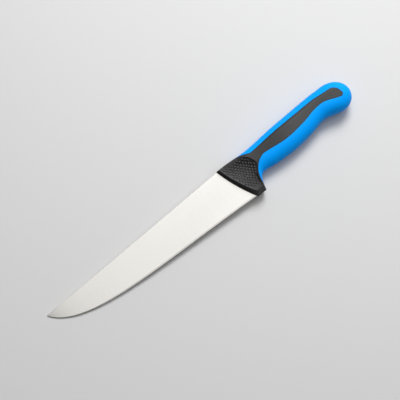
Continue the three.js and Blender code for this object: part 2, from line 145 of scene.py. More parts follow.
# Grain of a moulded plastic: waves to the metre of the grain and of the clouds over it, the grain's share of
# the tone, how far the clouds and the grain change the roughness, and the grain's depth
Grain = namedtuple("Grain", "waves clouds share cloud_gloss gloss depth")
HARD_GRAIN = Grain(waves=2400, clouds=55, share=0.7, cloud_gloss=0.1, gloss=0.12, depth=0.04 * MM)
SOFT_GRAIN = Grain(waves=3200, clouds=40, share=0.5, cloud_gloss=0.14, gloss=0.08, depth=0.02 * MM)

# Stage
FLOOR_SIDE = 8.0  # metres
GLOW_POWER = 4  # how fast the glow from above falls off
NEAREST = 10 * MM  # distance at which the camera starts to see


def size(name, description, millimetres):
    """A length that is written in millimetres and kept in metres."""
    metres = millimetres * MM
    return FloatProperty(name=name, description=description, default=metres, unit="LENGTH", precision=4)


def angle(name, description, degrees):
    """An angle that is written in degrees and kept in radians."""
    return FloatProperty(name=name, description=description, default=np.radians(degrees), subtype="ANGLE")


def level(name, description, default):
    """A plain number."""
    return FloatProperty(name=name, description=description, default=default, min=0)


def place(name, description, millimetres):
    """A point that is written in millimetres and kept in metres."""
    metres = np.array(millimetres) * MM
    return FloatVectorProperty(name=name, description=description, default=metres, subtype="TRANSLATION")


def share(name, description, default):
    """A number from 0 to 1."""
    return FloatProperty(name=name, description=description, default=default, min=0, max=1, subtype="FACTOR")


def colour(name, description, default):
    """A linear colour."""
    return FloatVectorProperty(
        name=name, description=description, default=default, min=0, max=1, subtype="COLOR")


class BladeSizes(PropertyGroup):
    """The blade and its tang."""

    length: size("Length", "Along the back, from the tip to the bolster", 190)
    height: size("Height", "From the back to the edge, at the heel", 38)
    back: size("Back", "Thickness of the back at the bolster", 2.5)
    point: size("Point", "Thickness of the back at the tip", 1.6)
    heel: size("Heel", "Thickness behind the edge at the heel", 0.7)
    tip_grind: size("Tip grind", "Thickness behind the edge at the tip", 0.2)
    point_blend: size("Point blend", "Thickness over which the grind blends into the thinner point", 0.3)
    bevel: angle("Bevel", "Lean of each side of the sharpened band along the edge", 14)
    edge: size("Edge", "Thickness of the edge itself", 0.1)
    tip: size("Tip", "Height of the blunted tip", 0.4)
    back_round: size("Back round", "Radius of the two corners along the back", 0.15)
    ridge_rise: size("Grind line rise", "Extra half thickness along the faint grind line, at the heel", 0.1)
    # Reach of the painted shade line: a darker reflection painted along the bevel's start
    painted_shade_line: size("Shoulder", "Reach of the darker line on each side of the bevel's start", 0.3)
    relief: size("Relief", "The tang is thinner than the blade by this on each side", 0.15)
    seat: size("Seat", "How far the full blade reaches into the bolster", 1.2)
    shank_top: size("Shank top", "Top of the shank, below the back", 3)
    shank_low: size("Shank bottom", "Bottom of the shank, below the back", 33)
    shank_end: size("Shank end", "Rear of the shank, behind the bolster's front", 17)
    tang_top: size("Tang top", "Top of the tang, below the back", 6.65)
    tang_low: size("Tang bottom", "Bottom of the tang, below the back", 20.65)
    tang_end: size("Tang end", "Rear of the tang, behind the bolster's front", 95)
    tang_corner: size("Tang corner", "Radius of the tang's rear corners", 4)


class HandleSizes(PropertyGroup):
    """Outline and thickness of the handle: stations from the bolster's front, depths below the back."""

    notch_x: size("Notch station", "Finger notch", 32)
    swell_x: size("Swell station", "Fullest place of the belly", 65)
    waist_x: size("Waist station", "Narrow place of the belly", 101)
    hook_x: size("Hook station", "Lowest place of the hook", 122)
    butt_x: size("Butt station", "End of the handle", 136)
    butt_run: size("Butt run", "Length of the round from the back to the butt", 20)
    front_rise: size("Front rise", "Back of the bolster's front, above the blade's back", 0.25)
    neck_drop: size("Neck drop", "Back of the handle at the notch", 1.5)
    crest_drop: size("Crest drop", "Back of the handle from the swell to the waist", 0.4)
    butt_drop: size("Butt drop", "Back of the handle where the butt's round starts", 1.1)
    notch_depth: size("Notch depth", "Belly at the finger notch", 25.8)
    rise_depth: size("Rise depth", "Belly between the notch and the swell", 27.714)
    swell_depth: size("Swell depth", "Belly at the swell", 29.1)
    fall_depth: size("Fall depth", "Belly between the swell and the waist", 27.884)
    waist_depth: size("Waist depth", "Belly at the waist", 25.3)
    hook_depth: size("Hook depth", "Belly at the hook", 30.4)
    butt_depth: size("Butt depth", "Rearmost point of the butt", 17.4)
    neck_thickness: size("Neck thickness", "Across the sides at the notch", 16.6)
    swell_thickness: size("Swell thickness", "Across the sides at the swell", 20)
    waist_thickness: size("Waist thickness", "Across the sides at the waist", 18.8)
    hook_thickness: size("Hook thickness", "Across the sides at the hook", 20)
    bolster_round: size("Bolster round", "Round of the back edges at the bolster's front", 2)
    patch_round: size("Patch round", "Round of the back edges half way from there to the notch", 3)
    neck_round: size("Neck round", "Round of the back edges at the notch", 8)
    back_round: size("Back round", "Round of the back edges behind the neck", 10)
    belly_round: size("Belly round", "Round of the belly edges", 11)
    butt_round: size("Butt round", "Round of the butt, seen from the back", 10)


class BolsterSizes(PropertyGroup):
    """The bolster, its thumb patches and the finger guard."""

    lead: size("Lead", "How far the front stands towards the tip at the blade's back", 1.15)
    heel_x: size("Heel station", "How far the front stands towards the butt at the blade's heel", 11.8)
    bow: size("Bow", "How far that front bows towards the tip", 1.5)
    thickness: size("Thickness", "Across the two thumb patches", 13)
    land: size("Land", "Upright band of the front, round the blade", 2.6)
    draft_back: size("Back draft", "How far the front leans away above the land, at the back", 1.8)
    draft_heel: size("Heel draft", "How far the front leans away above the land, at the heel", 2.85)
    guard_depth: size("Guard depth", "End of the guard, below the back", 39.2)
    guard_front: size("Guard front chamfer", "Run of the guard's end at its front corner", 3.7)
    guard_rear: size("Guard rear chamfer", "Run of the guard's end at its rear corner", 4.3)
    guard_ledge: size("Guard ledge", "Thin ledge that the land makes round the guard's end", 0.5)
    guard_face: size("Guard face", "Height of the steep face above that ledge", 4.4)
    guard_steep: size("Guard face run", "How far that face leans in", 1.2)
    guard_run: size("Guard run", "From the finger notch forward to the guard's rear", 9.8)
    guard_drop: size("Guard drop", "From the finger notch down to the same corner", 11.7)
    scoop: size("Scoop", "Length over which each thumb patch curves up to the lip behind it", 9)
    scoop_low: size("Low scoop", "The same length at the guard", 2.5)
    lip_round: size("Lip round", "Round of the lip's upper edge", 0.45)
    crease: size("Crease", "Softening of the moulded creases", 0.4)
    dish: size("Dish", "Hollow of each thumb patch, where it is as long as the dish's run", 1.5)
    dish_run: size("Dish run", "From the front crease to the lip", 24)


class BumpSizes(PropertyGroup):
    """The raised bumps on the thumb patches."""

    pitch_a: size("First pitch", "Distance between bumps along one set of rows", 2.448)
    pitch_b: size("Second pitch", "Distance between bumps along the other rows", 2.398)
    lean_a: angle("First row", "Direction of one set of rows", -48.26)
    lean_b: angle("Second row", "Direction of the other rows", -121.56)
    first_x: size("First bump", "Station of the bump that the rows start from", 15.67)
    first_depth: size("First bump depth", "Depth of the bump that the rows start from", 17.14)
    radius: size("Radius", "Of one bump at its foot", 1)
    rise: size("Rise", "Of one bump above the patch", 0.45)
    skirt: size("Skirt", "How far a bump reaches into the patch", 0.3)
    front_margin: size("Front margin", "Bare band along the bolster's front", 1.9)
    lip_margin: size("Lip margin", "Bare band along the lip", 1.8)
    back_margin: size("Back margin", "Bare band along the back", 3.4)
    guard_margin: size("Guard margin", "Bare band above the guard's end", 7.8)


class GripSizes(PropertyGroup):
    """The soft grip's widths, seen from the side."""

    strip_neck: size("Strip at the neck", "Width along the back", 5.45)
    strip_swell: size("Strip at the swell", "Width along the back", 5.75)
    strip_waist: size("Strip at the waist", "Width along the back", 6.1)
    strip_hook: size("Strip at the hook", "Width along the back", 7.7)
    band_neck: size("Band at the neck", "Width along the belly", 12.4)
    band_swell: size("Band at the swell", "Width along the belly", 10.8)
    band_waist: size("Band at the waist", "Width along the belly", 11.1)
    band_hip: size("Band at the hip", "Width along the belly, half way from the waist to the hook", 12.5)
    band_hook: size("Band at the hook", "Width along the belly", 10.3)
    band_end: size("Band at the panel's end", "Width along the belly", 8.3)
    ring: size("Butt ring", "Width round the butt", 9)
    neck_x: size("Neck station", "Narrowest place of the hard neck", 41)
    end_depth: size("Panel end depth", "Rear point of the hard side panel", 18.6)
    top_corner: size("Panel top corner", "Length of the round above that point", 7.5)
    low_corner: size("Panel low corner", "Length of the round below that point", 3)
    tail_depth: size("Tail depth", "Lower end of the belly band, on the guard's rear", 33.6)
    tail_width: size("Tail width", "Width of that end", 0.5)
    tip_x: size("Strip tip", "Front end of the back strip", 16)
    tip_width: size("Strip tip width", "Width of that end", 0.5)
    full_x: size("Full strip", "Where the back strip has its full width", 33)
    groove: size("Groove", "Gap between the hard and the soft plastic", 0.08)
    edge_round: size("Edge round", "Round of the edges along that gap", 0.2)


class KnifeFinishes(PropertyGroup):
    """Colours and gloss of the three materials."""

    steel: colour("Steel", "Satin ground steel", (0.725, 0.71, 0.675))
    steel_dark: colour("Steel, dark", "Darker streaks of the grind", (0.645, 0.63, 0.60))
    # Painted shade: a darker steel colour along the bevel's start that stands in for its darker reflection
    steel_painted_shade: colour("Steel, line", "Line where the bevel starts", (0.40, 0.39, 0.37))
    steel_rough: share("Steel roughness", "Blur of the blade's reflections", 0.25)
    plastic: colour("Hard plastic", "Matte black plastic", (0.005, 0.005, 0.0053))
    plastic_pale: colour("Hard plastic, pale", "Paler specks of its grain", (0.014, 0.014, 0.0143))
    plastic_rough: share("Hard plastic roughness", "Blur of its reflections", 0.55)
    plastic_shine: share("Hard plastic shine", "Strength of its reflections", 0.47)
    bump_rough: share("Bump roughness", "Blur of reflections on the thumb bumps, which are smoother", 0.32)
    bump_shine: share("Bump shine", "Strength of those reflections", 0.6)
    soft: colour("Soft grip", "Bright blue soft plastic", (0.0, 0.35, 1.0))
    soft_deep: colour("Soft grip, deep", "Deeper tone of its grain", (0.0, 0.315, 0.96))
    soft_rough: share("Soft grip roughness", "Blur of its reflections", 0.50)
    soft_shine: share("Soft grip shine", "Strength of its reflections", 0.06)


class StageSetup(PropertyGroup):
    """Floor, lights and camera."""

    floor: colour("Floor", "Pale floor", (0.66, 0.66, 0.66))
    floor_rough: share("Floor roughness", "Blur of its reflections", 0.9)
    floor_shine: share("Floor shine", "Strength of its reflections", 0.2)
    zenith: level("Glow", "Brightness of the broad glow from above", 0.44)
    horizon: level("Sky", "Brightness of the soft light from all round", 0.05)
    lean: angle("Glow lean", "How far the glow leans towards the key light", 12)
    aside: level("Side glow", "Brightness of the horizon under the key light", 0.3)
    key: level("Key light", "Brightness of the key light's face", 13.9)
    key_side: size("Key side", "Width and length of the key light", 450)
    key_place: place("Key place", "Middle of the key light", (580, 400, 843))
    overhead: level("Overhead light", "Brightness of the overhead light's face", 0.74)
    overhead_side: size("Overhead side", "Width and length of the overhead light", 1800)
    overhead_place: place("Overhead place", "Middle of the overhead light", (470, 30, 1200))
    elevation: angle("Elevation", "Camera above the floor", 76)
    azimuth: angle("Azimuth", "Camera round the knife", -40.63)
    distance: size("Distance", "From the camera to the point that it looks at", 1000)
    focal: level("Focal length", "In pixels of the square picture", 1163.9)
    target: place("Target", "Point that the camera looks at", (-0.6, 10.58, 7.7))


class KnifeSettings(PropertyGroup):
    """Everything that can be set on the knife and its stage."""

    blade: PointerProperty(type=BladeSizes)
    handle: PointerProperty(type=HandleSizes)
    bolster: PointerProperty(type=BolsterSizes)
    bumps: PointerProperty(type=BumpSizes)
    grip: PointerProperty(type=GripSizes)
    finishes: PointerProperty(type=KnifeFinishes)
    stage: PointerProperty(type=StageSetup)


def mix(a, b, part):
    """The place a part of the way from a to b."""
    return a + (b - a) * part


def quarter(part):
    """Height of a quarter circle of radius 1, a part of the way from its top to its end."""
    return np.sqrt(np.clip(1 - part**2, 0, None))


def lesser(a, b, blend):
    """The lesser of two heights, with the crease between them rounded off over a blend."""
    part = np.clip(0.5 + (b - a) / (2 * blend), 0, 1)
    return mix(b, a, part) - blend * part * (1 - part)


def curve_through(*points):
    """A smooth curve y(x) through points: cubic pieces whose slope at a point is the harmonic mean of the
    two chords there, level at turning points, at the ends and beyond them."""
    px, py = np.array(points).T
    run = np.diff(px)
    chord = np.diff(py) / run
    same_way = chord[:-1] * chord[1:] > 0
    total = np.where(same_way, chord[:-1] + chord[1:], 1)
    slope = np.zeros(len(px))
    slope[1:-1] = np.where(same_way, 2 * chord[:-1] * chord[1:] / total, 0)

    def curve(x):
        inside = np.clip(x, px[0], px[-1])
        i = np.clip(np.searchsorted(px, inside) - 1, 0, len(run) - 1)
        t = (inside - px[i]) / run[i]
        eased = mix(py[i], py[i + 1], t * t * (3 - 2 * t))
        return eased + run[i] * t * (1 - t) * (slope[i] * (1 - t) - slope[i + 1] * t)

    return curve


def bezier(start, end, handles):
    """Cubic curve between two points, with a handle from each."""
    t = np.linspace(0, 1, LINE_STEPS)[:, None]
    a, d = np.array(start), np.array(end)
    b, c = a + handles[0], d + handles[1]
    return (1 - t) ** 3 * a + 3 * t * (1 - t) ** 2 * b + 3 * t**2 * (1 - t) * c + t**3 * d


def ellipse_quarter(centre, reach, turned=False):
    """A quarter ellipse about a centre: from straight above or below it to straight behind it."""
    turn = np.linspace(0, np.pi / 2, LINE_STEPS)
    line = np.array(centre) + np.array(reach) * np.stack([np.sin(turn), np.cos(turn)], axis=1)
    return line[::-1] if turned else line


def over(curve, x):
    """Points of a curve y(x) at stations x."""
    return np.stack([x, curve(x)], axis=1)


def graph(curve, start, end):
    """The line of a curve y(x) from one x to another."""
    return over(curve, np.linspace(start, end, LINE_STEPS))


def beside(line, x):
    """Points of a line at stations x, where the line's own stations grow."""
    return over(lambda at: np.interp(at, *line.T), x)


def stations(line):
    """Distance along a line of points, at each of them."""
    return np.concatenate([[0], np.cumsum(np.linalg.norm(np.diff(line, axis=0), axis=1))])


def along(line, at):
    """Points of a line at distances along it."""
    distance = stations(line)
    return np.stack([np.interp(at, distance, line[:, 0]), np.interp(at, distance, line[:, 1])], axis=-1)


def spaced(line, count):
    """A line drawn again with a number of points at even distances."""
    return along(line, np.linspace(0, stations(line)[-1], count))


def chain(*lines):
    """Lines joined end to end, each starting where the one before it ends."""
    return np.concatenate([lines[0]] + [line[1:] for line in lines[1:]])


def shifted(line, distance):
    """A line moved to its left by a distance, square to its run."""
    run = np.gradient(line, axis=0)
    run /= np.linalg.norm(run, axis=1, keepdims=True)
    return line + distance * np.stack([-run[:, 1], run[:, 0]], axis=1)


class Hull:
    """Outside of the whole handle. At each station x it has a back, a belly and a half thickness. The height
    over a point of the side is the half thickness, times a quarter circle over the distance from the back
    and another over the distance from the belly, each running out at its round."""

    def __init__(self, handle, bolster):
        h = self.handle = handle
        self.bolster = bolster
        self.butt_start = h.butt_x - h.butt_run
        self.back_body = curve_through(
            (0, h.front_rise), (h.notch_x, -h.neck_drop), (h.swell_x, -h.crest_drop),
            (h.waist_x, -h.crest_drop), (self.butt_start, -h.butt_drop))
        rise_x = mix(h.notch_x, h.swell_x, RISE_PART)
        fall_x = mix(h.swell_x, h.waist_x, FALL_PART)
        self.belly_body = curve_through(
            (h.notch_x, -h.notch_depth), (rise_x, -h.rise_depth), (h.swell_x, -h.swell_depth),
            (fall_x, -h.fall_depth), (h.waist_x, -h.waist_depth), (h.hook_x, -h.hook_depth))
        self.side_body = curve_through(
            (h.notch_x, h.neck_thickness / 2), (h.swell_x, h.swell_thickness / 2),
            (h.waist_x, h.waist_thickness / 2), (h.hook_x, h.hook_thickness / 2))
        self.back_round = curve_through(
            (0, h.bolster_round), (h.notch_x / 2, h.patch_round), (h.notch_x, h.neck_round),
            (h.swell_x, h.back_round))

    def back(self, x):
        """Back line: the body's curve, then a quarter ellipse down to the butt."""
        h = self.handle
        end = -h.butt_depth + (h.butt_depth - h.butt_drop) * quarter((x - self.butt_start) / h.butt_run)
        return np.where(x <= self.butt_start, self.back_body(x), end)

    def belly(self, x):
        """Belly line: the guard's rear as a power curve, the body's curve, a quarter ellipse to the butt."""
        h, b = self.handle, self.bolster
        forward = np.clip((h.notch_x - x) / b.guard_run, 0, None)
        guard = -h.notch_depth - b.guard_drop * forward**GUARD_CURVE
        front = np.maximum(guard, -b.guard_depth - 2 * h.belly_round)
        behind = np.clip((x - h.hook_x) / (h.butt_x - h.hook_x), 0, 1)
        end = -h.butt_depth - (h.hook_depth - h.butt_depth) * quarter(behind)
        return np.where(x < h.notch_x, front, np.where(x <= h.hook_x, self.belly_body(x), end))

    def guard_x(self, depth):
        """Station of the guard's rear at a depth: the belly's power curve read the other way."""
        h, b = self.handle, self.bolster
        return h.notch_x - b.guard_run * ((depth - h.notch_depth) / b.guard_drop) ** (1 / GUARD_CURVE)

    def side(self, x):
        """Half thickness: the body's curve, ended by a quarter ellipse at the butt."""
        start = self.handle.butt_x - self.handle.butt_round
        return self.side_body(x) * quarter(np.clip((x - start) / self.handle.butt_round, 0, 1))

    def height(self, x, y):
        """Height of the outside over a point of the side."""
        top, low = self.back(x), self.belly(x)
        most = np.maximum((top - low) / LEAST_ROUNDS, WELD)
        from_back = np.clip((top - y) / np.minimum(self.back_round(x), most), 0, 1)
        from_belly = np.clip((y - low) / np.minimum(self.handle.belly_round, most), 0, 1)
        return self.side(x) * quarter(1 - from_back) * quarter(1 - from_belly)


class SideLines:
    """Lines of the handle's side view: the hard panel's edges, the silhouette and the thumb patch's lip."""

    def __init__(self, settings):
        h, b, g = settings.handle, settings.bolster, settings.grip
        hull = self.hull = Hull(h, b)
        self.handle, self.bolster, self.grip = h, b, g
        self.blade_height = settings.blade.height
        strip = curve_through(
            (g.neck_x, g.strip_neck), (h.swell_x, g.strip_swell), (h.waist_x, g.strip_waist),
            (h.hook_x, g.strip_hook))
        self.end = np.array([h.butt_x - g.ring, -g.end_depth])
        hip_x = (h.waist_x + h.hook_x) / 2
        band = curve_through(
            (g.neck_x, g.band_neck), (h.swell_x, g.band_swell), (h.waist_x, g.band_waist),
            (hip_x, g.band_hip), (h.hook_x, g.band_hook), (self.end[0], g.band_end))
        self.top = lambda x: hull.back(x) - strip(x)
        self.low = lambda x: hull.belly(x) + band(x)
        self.turn_x = hull.butt_start
        neck = (g.neck_x, self.low(g.neck_x))
        tail = (hull.guard_x(g.tail_depth) - g.tail_width, -g.tail_depth)
        tip = (g.tip_x, hull.back(g.tip_x) - g.tip_width)
        self.nose = bezier((g.full_x, self.top(g.full_x)), tip, NOSE_HANDLES)[::-1]
        self.tail = bezier(neck, tail, TAIL_HANDLES)
        self.top_end = self.panel_end(self.top, g.top_corner)
        self.low_end = self.panel_end(self.low, g.low_corner)[::-1]
        lip = LIP + (h.notch_x, 0)
        self.lip = curve_through(*lip[:, ::-1])
        self.fore_nose = self.nose[self.nose[:, 0] <= NOSE_JOIN]
        leave = LIP_LEAVE + (h.notch_x, 0)
        rear = np.concatenate([lip[lip[:, 1] < leave[1]], [leave], self.fore_nose[-1:]])
        self.patch_rear = curve_through(*rear[:, ::-1])

    def front(self, depth):
        """Bolster's front on the middle plane: a line that leans back, bowed forward by a parabola."""
        b, part = self.bolster, depth / self.blade_height
        return mix(-b.lead, b.heel_x, part) - 4 * b.bow * part * (1 - part)

    def draft(self, depth):
        """How far the front leans away between the land and the thumb patch."""
        return mix(self.bolster.draft_back, self.bolster.draft_heel, depth / self.bolster.guard_depth)

    def panel_end(self, edge, corner):
        """One edge of the hard panel in the butt, ended by a quarter ellipse at the panel's rear point."""
        start = self.end[0] - corner
        round_end = ellipse_quarter((start, self.end[1]), (corner, edge(start) - self.end[1]))
        return chain(graph(edge, self.turn_x, start), round_end)

    def guard_line(self, start_depth, end_depth):
        """Silhouette of the guard's rear between two depths."""
        depth = np.linspace(start_depth, end_depth, LINE_STEPS)
        return np.stack([self.hull.guard_x(depth), -depth], axis=1)

    def patch_edge(self, y):
        """Rear edge of the patch's surface as x(y): the lip, then on to the back strip and along it."""
        beside_strip = np.interp(y, *self.fore_nose[::-1, ::-1].T)
        return np.where(y > self.fore_nose[-1, 1], beside_strip, self.patch_rear(y))

    def lip_stretch(self, y):
        """Length along x that a unit square to the lip covers: the root of 1 plus its slope squared."""
        slope = (self.lip(y + SLOPE_STEP) - self.lip(y - SLOPE_STEP)) / (2 * SLOPE_STEP)
        return np.sqrt(1 + slope**2)

    def from_lip(self, x, y):
        """Distance in front of the lip, square to it; less than 0 behind it."""
        return (self.lip(y) - x) / self.lip_stretch(y)

    def guard_limit(self, x, y):
        """Height of the guard's end: the land's thin ledge, a steep face above it and a gentle chamfer,
        which is shorter at the front."""
        b = self.bolster
        toe = self.front(b.guard_depth)
        part = np.clip((x - toe) / (self.handle.notch_x - b.guard_run - toe), 0, 1)
        from_end = y + b.guard_depth
        low = b.land / 2
        top = b.thickness / 2
        steep = low + b.guard_face * (from_end - b.guard_ledge) / b.guard_steep
        reach = mix(b.guard_front, b.guard_rear, part)
        run = reach - b.guard_ledge - b.guard_steep
        gentle = top + (top - low - b.guard_face) * (from_end - reach) / run
        return np.maximum(lesser(steep, gentle, b.crease), low)

    def core_height(self, x, y):
        """Height of the hard core over a point of the side. In front of the lip it is the lesser of the hull
        and the patch, a dished floor that curves up to the lip as a parabola; behind it the hull, with the
        lip's edge rounded off. The leaning front and the guard's end cut it, with softened creases."""
        b = self.bolster
        hull = self.hull.height(x, y)
        low = b.land / 2
        top = b.thickness / 2
        inside = self.from_lip(x, y)
        from_crease = np.clip(x - self.front(-y) - self.draft(-y), 0, None)
        floor = top - 4 * b.dish * from_crease * np.clip(inside, 0, None) / b.dish_run**2
        step = np.maximum(self.hull.height(self.lip(y), y) - top, 0)
        edge_round = np.minimum(step / 2, b.lip_round)
        on_floor = np.clip(inside / np.interp(y, SCOOP_FADE, [b.scoop_low, b.scoop]), 0, 1)
        patch = floor + (step - edge_round) * (1 - on_floor) ** 2
        in_front = lesser(hull, patch, b.crease * np.maximum(on_floor, LEAST_SOFT))
        height = np.where(inside > 0, in_front, hull - rounded_off(-inside, edge_round))
        lean = low + (top - low) * (x - self.front(-y)) / self.draft(-y)
        height = lesser(height, lean, b.crease)
        return np.maximum(lesser(height, self.guard_limit(x, y), b.crease), 0)

    def soft_round(self, line):
        """Round of the soft grip's edge along a line, smaller where the handle is thin."""
        return np.clip(self.hull.height(*line.T) / 2, 0, self.grip.edge_round)[:, None]


def rounded_off(distance, radius):
    """How far a rounded edge lies below its surface, at a distance from the edge: a quarter circle."""
    return radius * (1 - quarter(1 - np.clip(distance / np.maximum(radius, WELD), 0, 1)))


def columns(width, first, last, middle):
    """Distances across rows of a width: some given ones at each side, and others evenly spread between."""
    inner = mix(first[:, -1:], width - last[:, :1], np.linspace(0, 1, middle)[1:-1])
    return np.concatenate([first, inner, width - last], axis=1)


def arc_steps(radius, count):
    """Distances from an edge at which its round of a radius is drawn, evenly in angle."""
    return radius * (1 - np.cos(np.linspace(0, np.pi / 2, count)))


def across_rows(start, end, distance, width):
    """Points of straight rows from one line to another, at distances from the first line."""
    part = distance / np.maximum(width, WELD)
    return mix(start[:, None], end[:, None], part[..., None])


def lifted(points, height):
    """Points of the side view with their heights over it."""
    return np.concatenate([points, height[..., None]], axis=-1)


class Patchwork:
    """Sheets of points on both sides of the knife's middle plane, gathered into one closed mesh."""

    def __init__(self):
        self.points = []
        self.marks = []
        self.quads = []
        self.count = 0

    def sheet(self, grid, marks=0.0):
        """Adds a grid of points, rows by columns, and the quads between them; gives the points' numbers."""
        numbers = self.count + np.arange(grid[..., 0].size).reshape(grid.shape[:-1])
        self.points.append(grid.reshape(-1, 3))
        self.marks.append(np.broadcast_to(marks, grid.shape[:-1]).ravel())
        self.count += numbers.size
        self.join(numbers)
        return numbers

    def join(self, numbers):
        """Quads between the neighbouring rows and columns of a table of point numbers."""
        row, next_row = numbers[..., :-1, :], numbers[..., 1:, :]
        corners = (row[..., :-1], row[..., 1:], next_row[..., 1:], next_row[..., :-1])
        self.quads.append(np.stack(corners, axis=-1).reshape(-1, 4))

    def both_sides(self, grid, marks=0.0):
        """A sheet and its mirror image through the middle plane."""
        return self.sheet(grid, marks), self.sheet(grid * [1, 1, -1], marks)

    def close(self, sides, *lines):
        """Walls between the two sides along lines of their points."""
        for line in lines:
            self.join(np.stack([side[line] for side in sides]))

    def mesh(self, name, settings, sharp):
        """The closed mesh, laid on its side, with edges sharper than an angle kept crisp."""
        mesh = bpy.data.meshes.new(name)
        mesh.from_pydata(laid(np.concatenate(self.points), settings), [], np.concatenate(self.quads))
        mark = mesh.attributes.new(MARK, "FLOAT", "POINT")
        mark.data.foreach_set("value", np.concatenate(self.marks).astype(np.float32))
        body = bmesh.new()
        body.from_mesh(mesh)
        bmesh.ops.remove_doubles(body, verts=body.verts, dist=WELD)
        bmesh.ops.dissolve_degenerate(body, edges=body.edges, dist=WELD / 10)
        bmesh.ops.recalc_face_normals(body, faces=body.faces)
        body.to_mesh(mesh)
        body.free()
        mesh.shade_smooth()
        mesh.set_sharp_from_angle(angle=sharp)
        return mesh


def blade_half(b, x, y):
    """Half thickness of the flat-ground blade: a plane that falls to the edge and to the tip."""
    return (b.back + (b.back - b.point) / b.length * x + (b.back - b.heel) / b.height * y) / 2


def laid(points, settings):
    """Points of the knife's own frame in the part's frame: turned about Y until the tip and the handle's
    fullest place both touch the floor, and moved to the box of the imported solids."""
    b, h = settings.blade, settings.handle
    hull = Hull(h, settings.bolster)
    tip = blade_half(b, -b.length, 0)
    x = np.linspace(h.notch_x, h.butt_x, LINE_STEPS)
    tilt = np.arctan2(hull.side(x) - tip, x + b.length).max()
    cos, sin = np.cos(tilt), np.sin(tilt)
    turn = np.array([[cos, 0, -sin], [0, 1, 0], [sin, 0, cos]])
    lowest = CAD_BOX[0]
    place_x = lowest[0] + b.length * cos + tip * sin
    place_z = lowest[2] + b.length * sin + tip * cos
    return points @ turn.T + (place_x, lowest[1] + settings.bolster.guard_depth, place_z)


def blade_outline(settings):
    """Back and edge of the bare blade, from the tip into the bolster, and the part of the way from the tip.
    The back is straight, and the edge is one cubic curve that goes on straight past the heel."""
    b = settings.blade
    heel = np.array([settings.bolster.heel_x, -b.height])
    edge = bezier((-b.length, -b.tip), heel, EDGE_HANDLES[::-1])
    run = -EDGE_HANDLES[0] / np.linalg.norm(EDGE_HANDLES[0])
    edge = np.concatenate([edge, [heel + b.seat * run]])
    from_tip = (edge[:, 0] + b.length) / (edge[-1, 0] + b.length)
    back = np.stack([mix(-b.length, b.seat, from_tip), np.zeros(len(edge))], axis=1)
    return back, edge, from_tip[:, None]


def blade_rows(settings):
    """Bare blade, in rows from the back to the edge, and the strength of the painted shade line where the
    bevel starts. The height over a row falls evenly to the thickness behind the edge, with a faint ridge a
    third of the way down, a round at the back and the straight bevel at the edge."""
    b = settings.blade
    back, edge, from_tip = blade_outline(settings)
    width = np.linalg.norm(edge - back, axis=1, keepdims=True)
    behind = mix(b.tip_grind, b.heel, np.sqrt(from_tip)) / 2
    bevel = np.minimum((behind - b.edge / 2) / np.tan(b.bevel), width / 2)
    back_round = np.minimum(b.back_round, width / 4)
    from_back = columns(width, arc_steps(back_round, BACK_COLUMNS), bevel * BEVEL_STEPS, RIDGE_COLUMNS)
    points = across_rows(back, edge, from_back, width)
    part = from_back / width
    ridge = np.minimum(part / RIDGE_PART, (1 - part) / (1 - RIDGE_PART)) * width / b.height
    ground = blade_half(b, *back.T)[:, None]
    back_half = lesser(ground, behind + MOST_GRIND * width, b.point_blend)
    half = mix(back_half, behind, part) + b.ridge_rise * ridge
    from_edge = width - from_back
    over_bevel = mix(b.edge / 2, half, np.clip(from_edge / bevel, 0, 1))
    # Painted shade: a darker band along the bevel's start that stands in for its darker reflection, faded by
    # station
    strength = np.interp(points[..., 0], SHADE_LINE_STATIONS, SHADE_LINE_LEVELS)
    painted_shade_line = np.clip(1 - np.abs(from_edge - bevel) / b.painted_shade_line, 0, 1) * strength
    return lifted(points, over_bevel - rounded_off(from_back, back_round)), painted_shade_line


def tang_rows(b, last_row):
    """Shank and tang, in rows like the blade's last one, which they go on from. The shank's rear is square,
    the tang's has two quarter circles, and both are thinner than the ground blade by the relief."""
    corner = b.tang_corner * (1 - quarter(np.linspace(0, 1, CORNER_ROWS)))
    rear = np.linspace(b.tang_end - b.tang_corner, b.tang_end, CORNER_ROWS)
    sides = []
    for shank, tang, inwards in ((b.shank_top, b.tang_top, corner), (b.shank_low, b.tang_low, -corner)):
        start = np.interp(shank, -last_row[:, 1], last_row[:, 0])
        x = np.concatenate([[start, b.shank_end, b.shank_end], rear])
        depth = np.concatenate([[shank, shank, tang], tang + inwards])
        sides.append(np.stack([x, -depth], axis=1)[:, None])
    points = mix(*sides, np.linspace(0, 1, len(last_row))[:, None])
    return lifted(points, blade_half(b, points[..., 0], points[..., 1]) - b.relief)


def blade_surface(settings):
    """Blade: its bare part and its tang on both sides, closed along the back, the edge and both ends."""
    bare, painted_shade_line = blade_rows(settings)
    inner = tang_rows(settings.blade, bare[-1])
    marks = np.concatenate([painted_shade_line, np.zeros(inner.shape[:2])])
    work = Patchwork()
    sides = work.both_sides(np.concatenate([bare, inner]), marks)
    work.close(sides, (ALL, 0), (ALL, -1), (0, ALL), (-1, ALL))
    return work


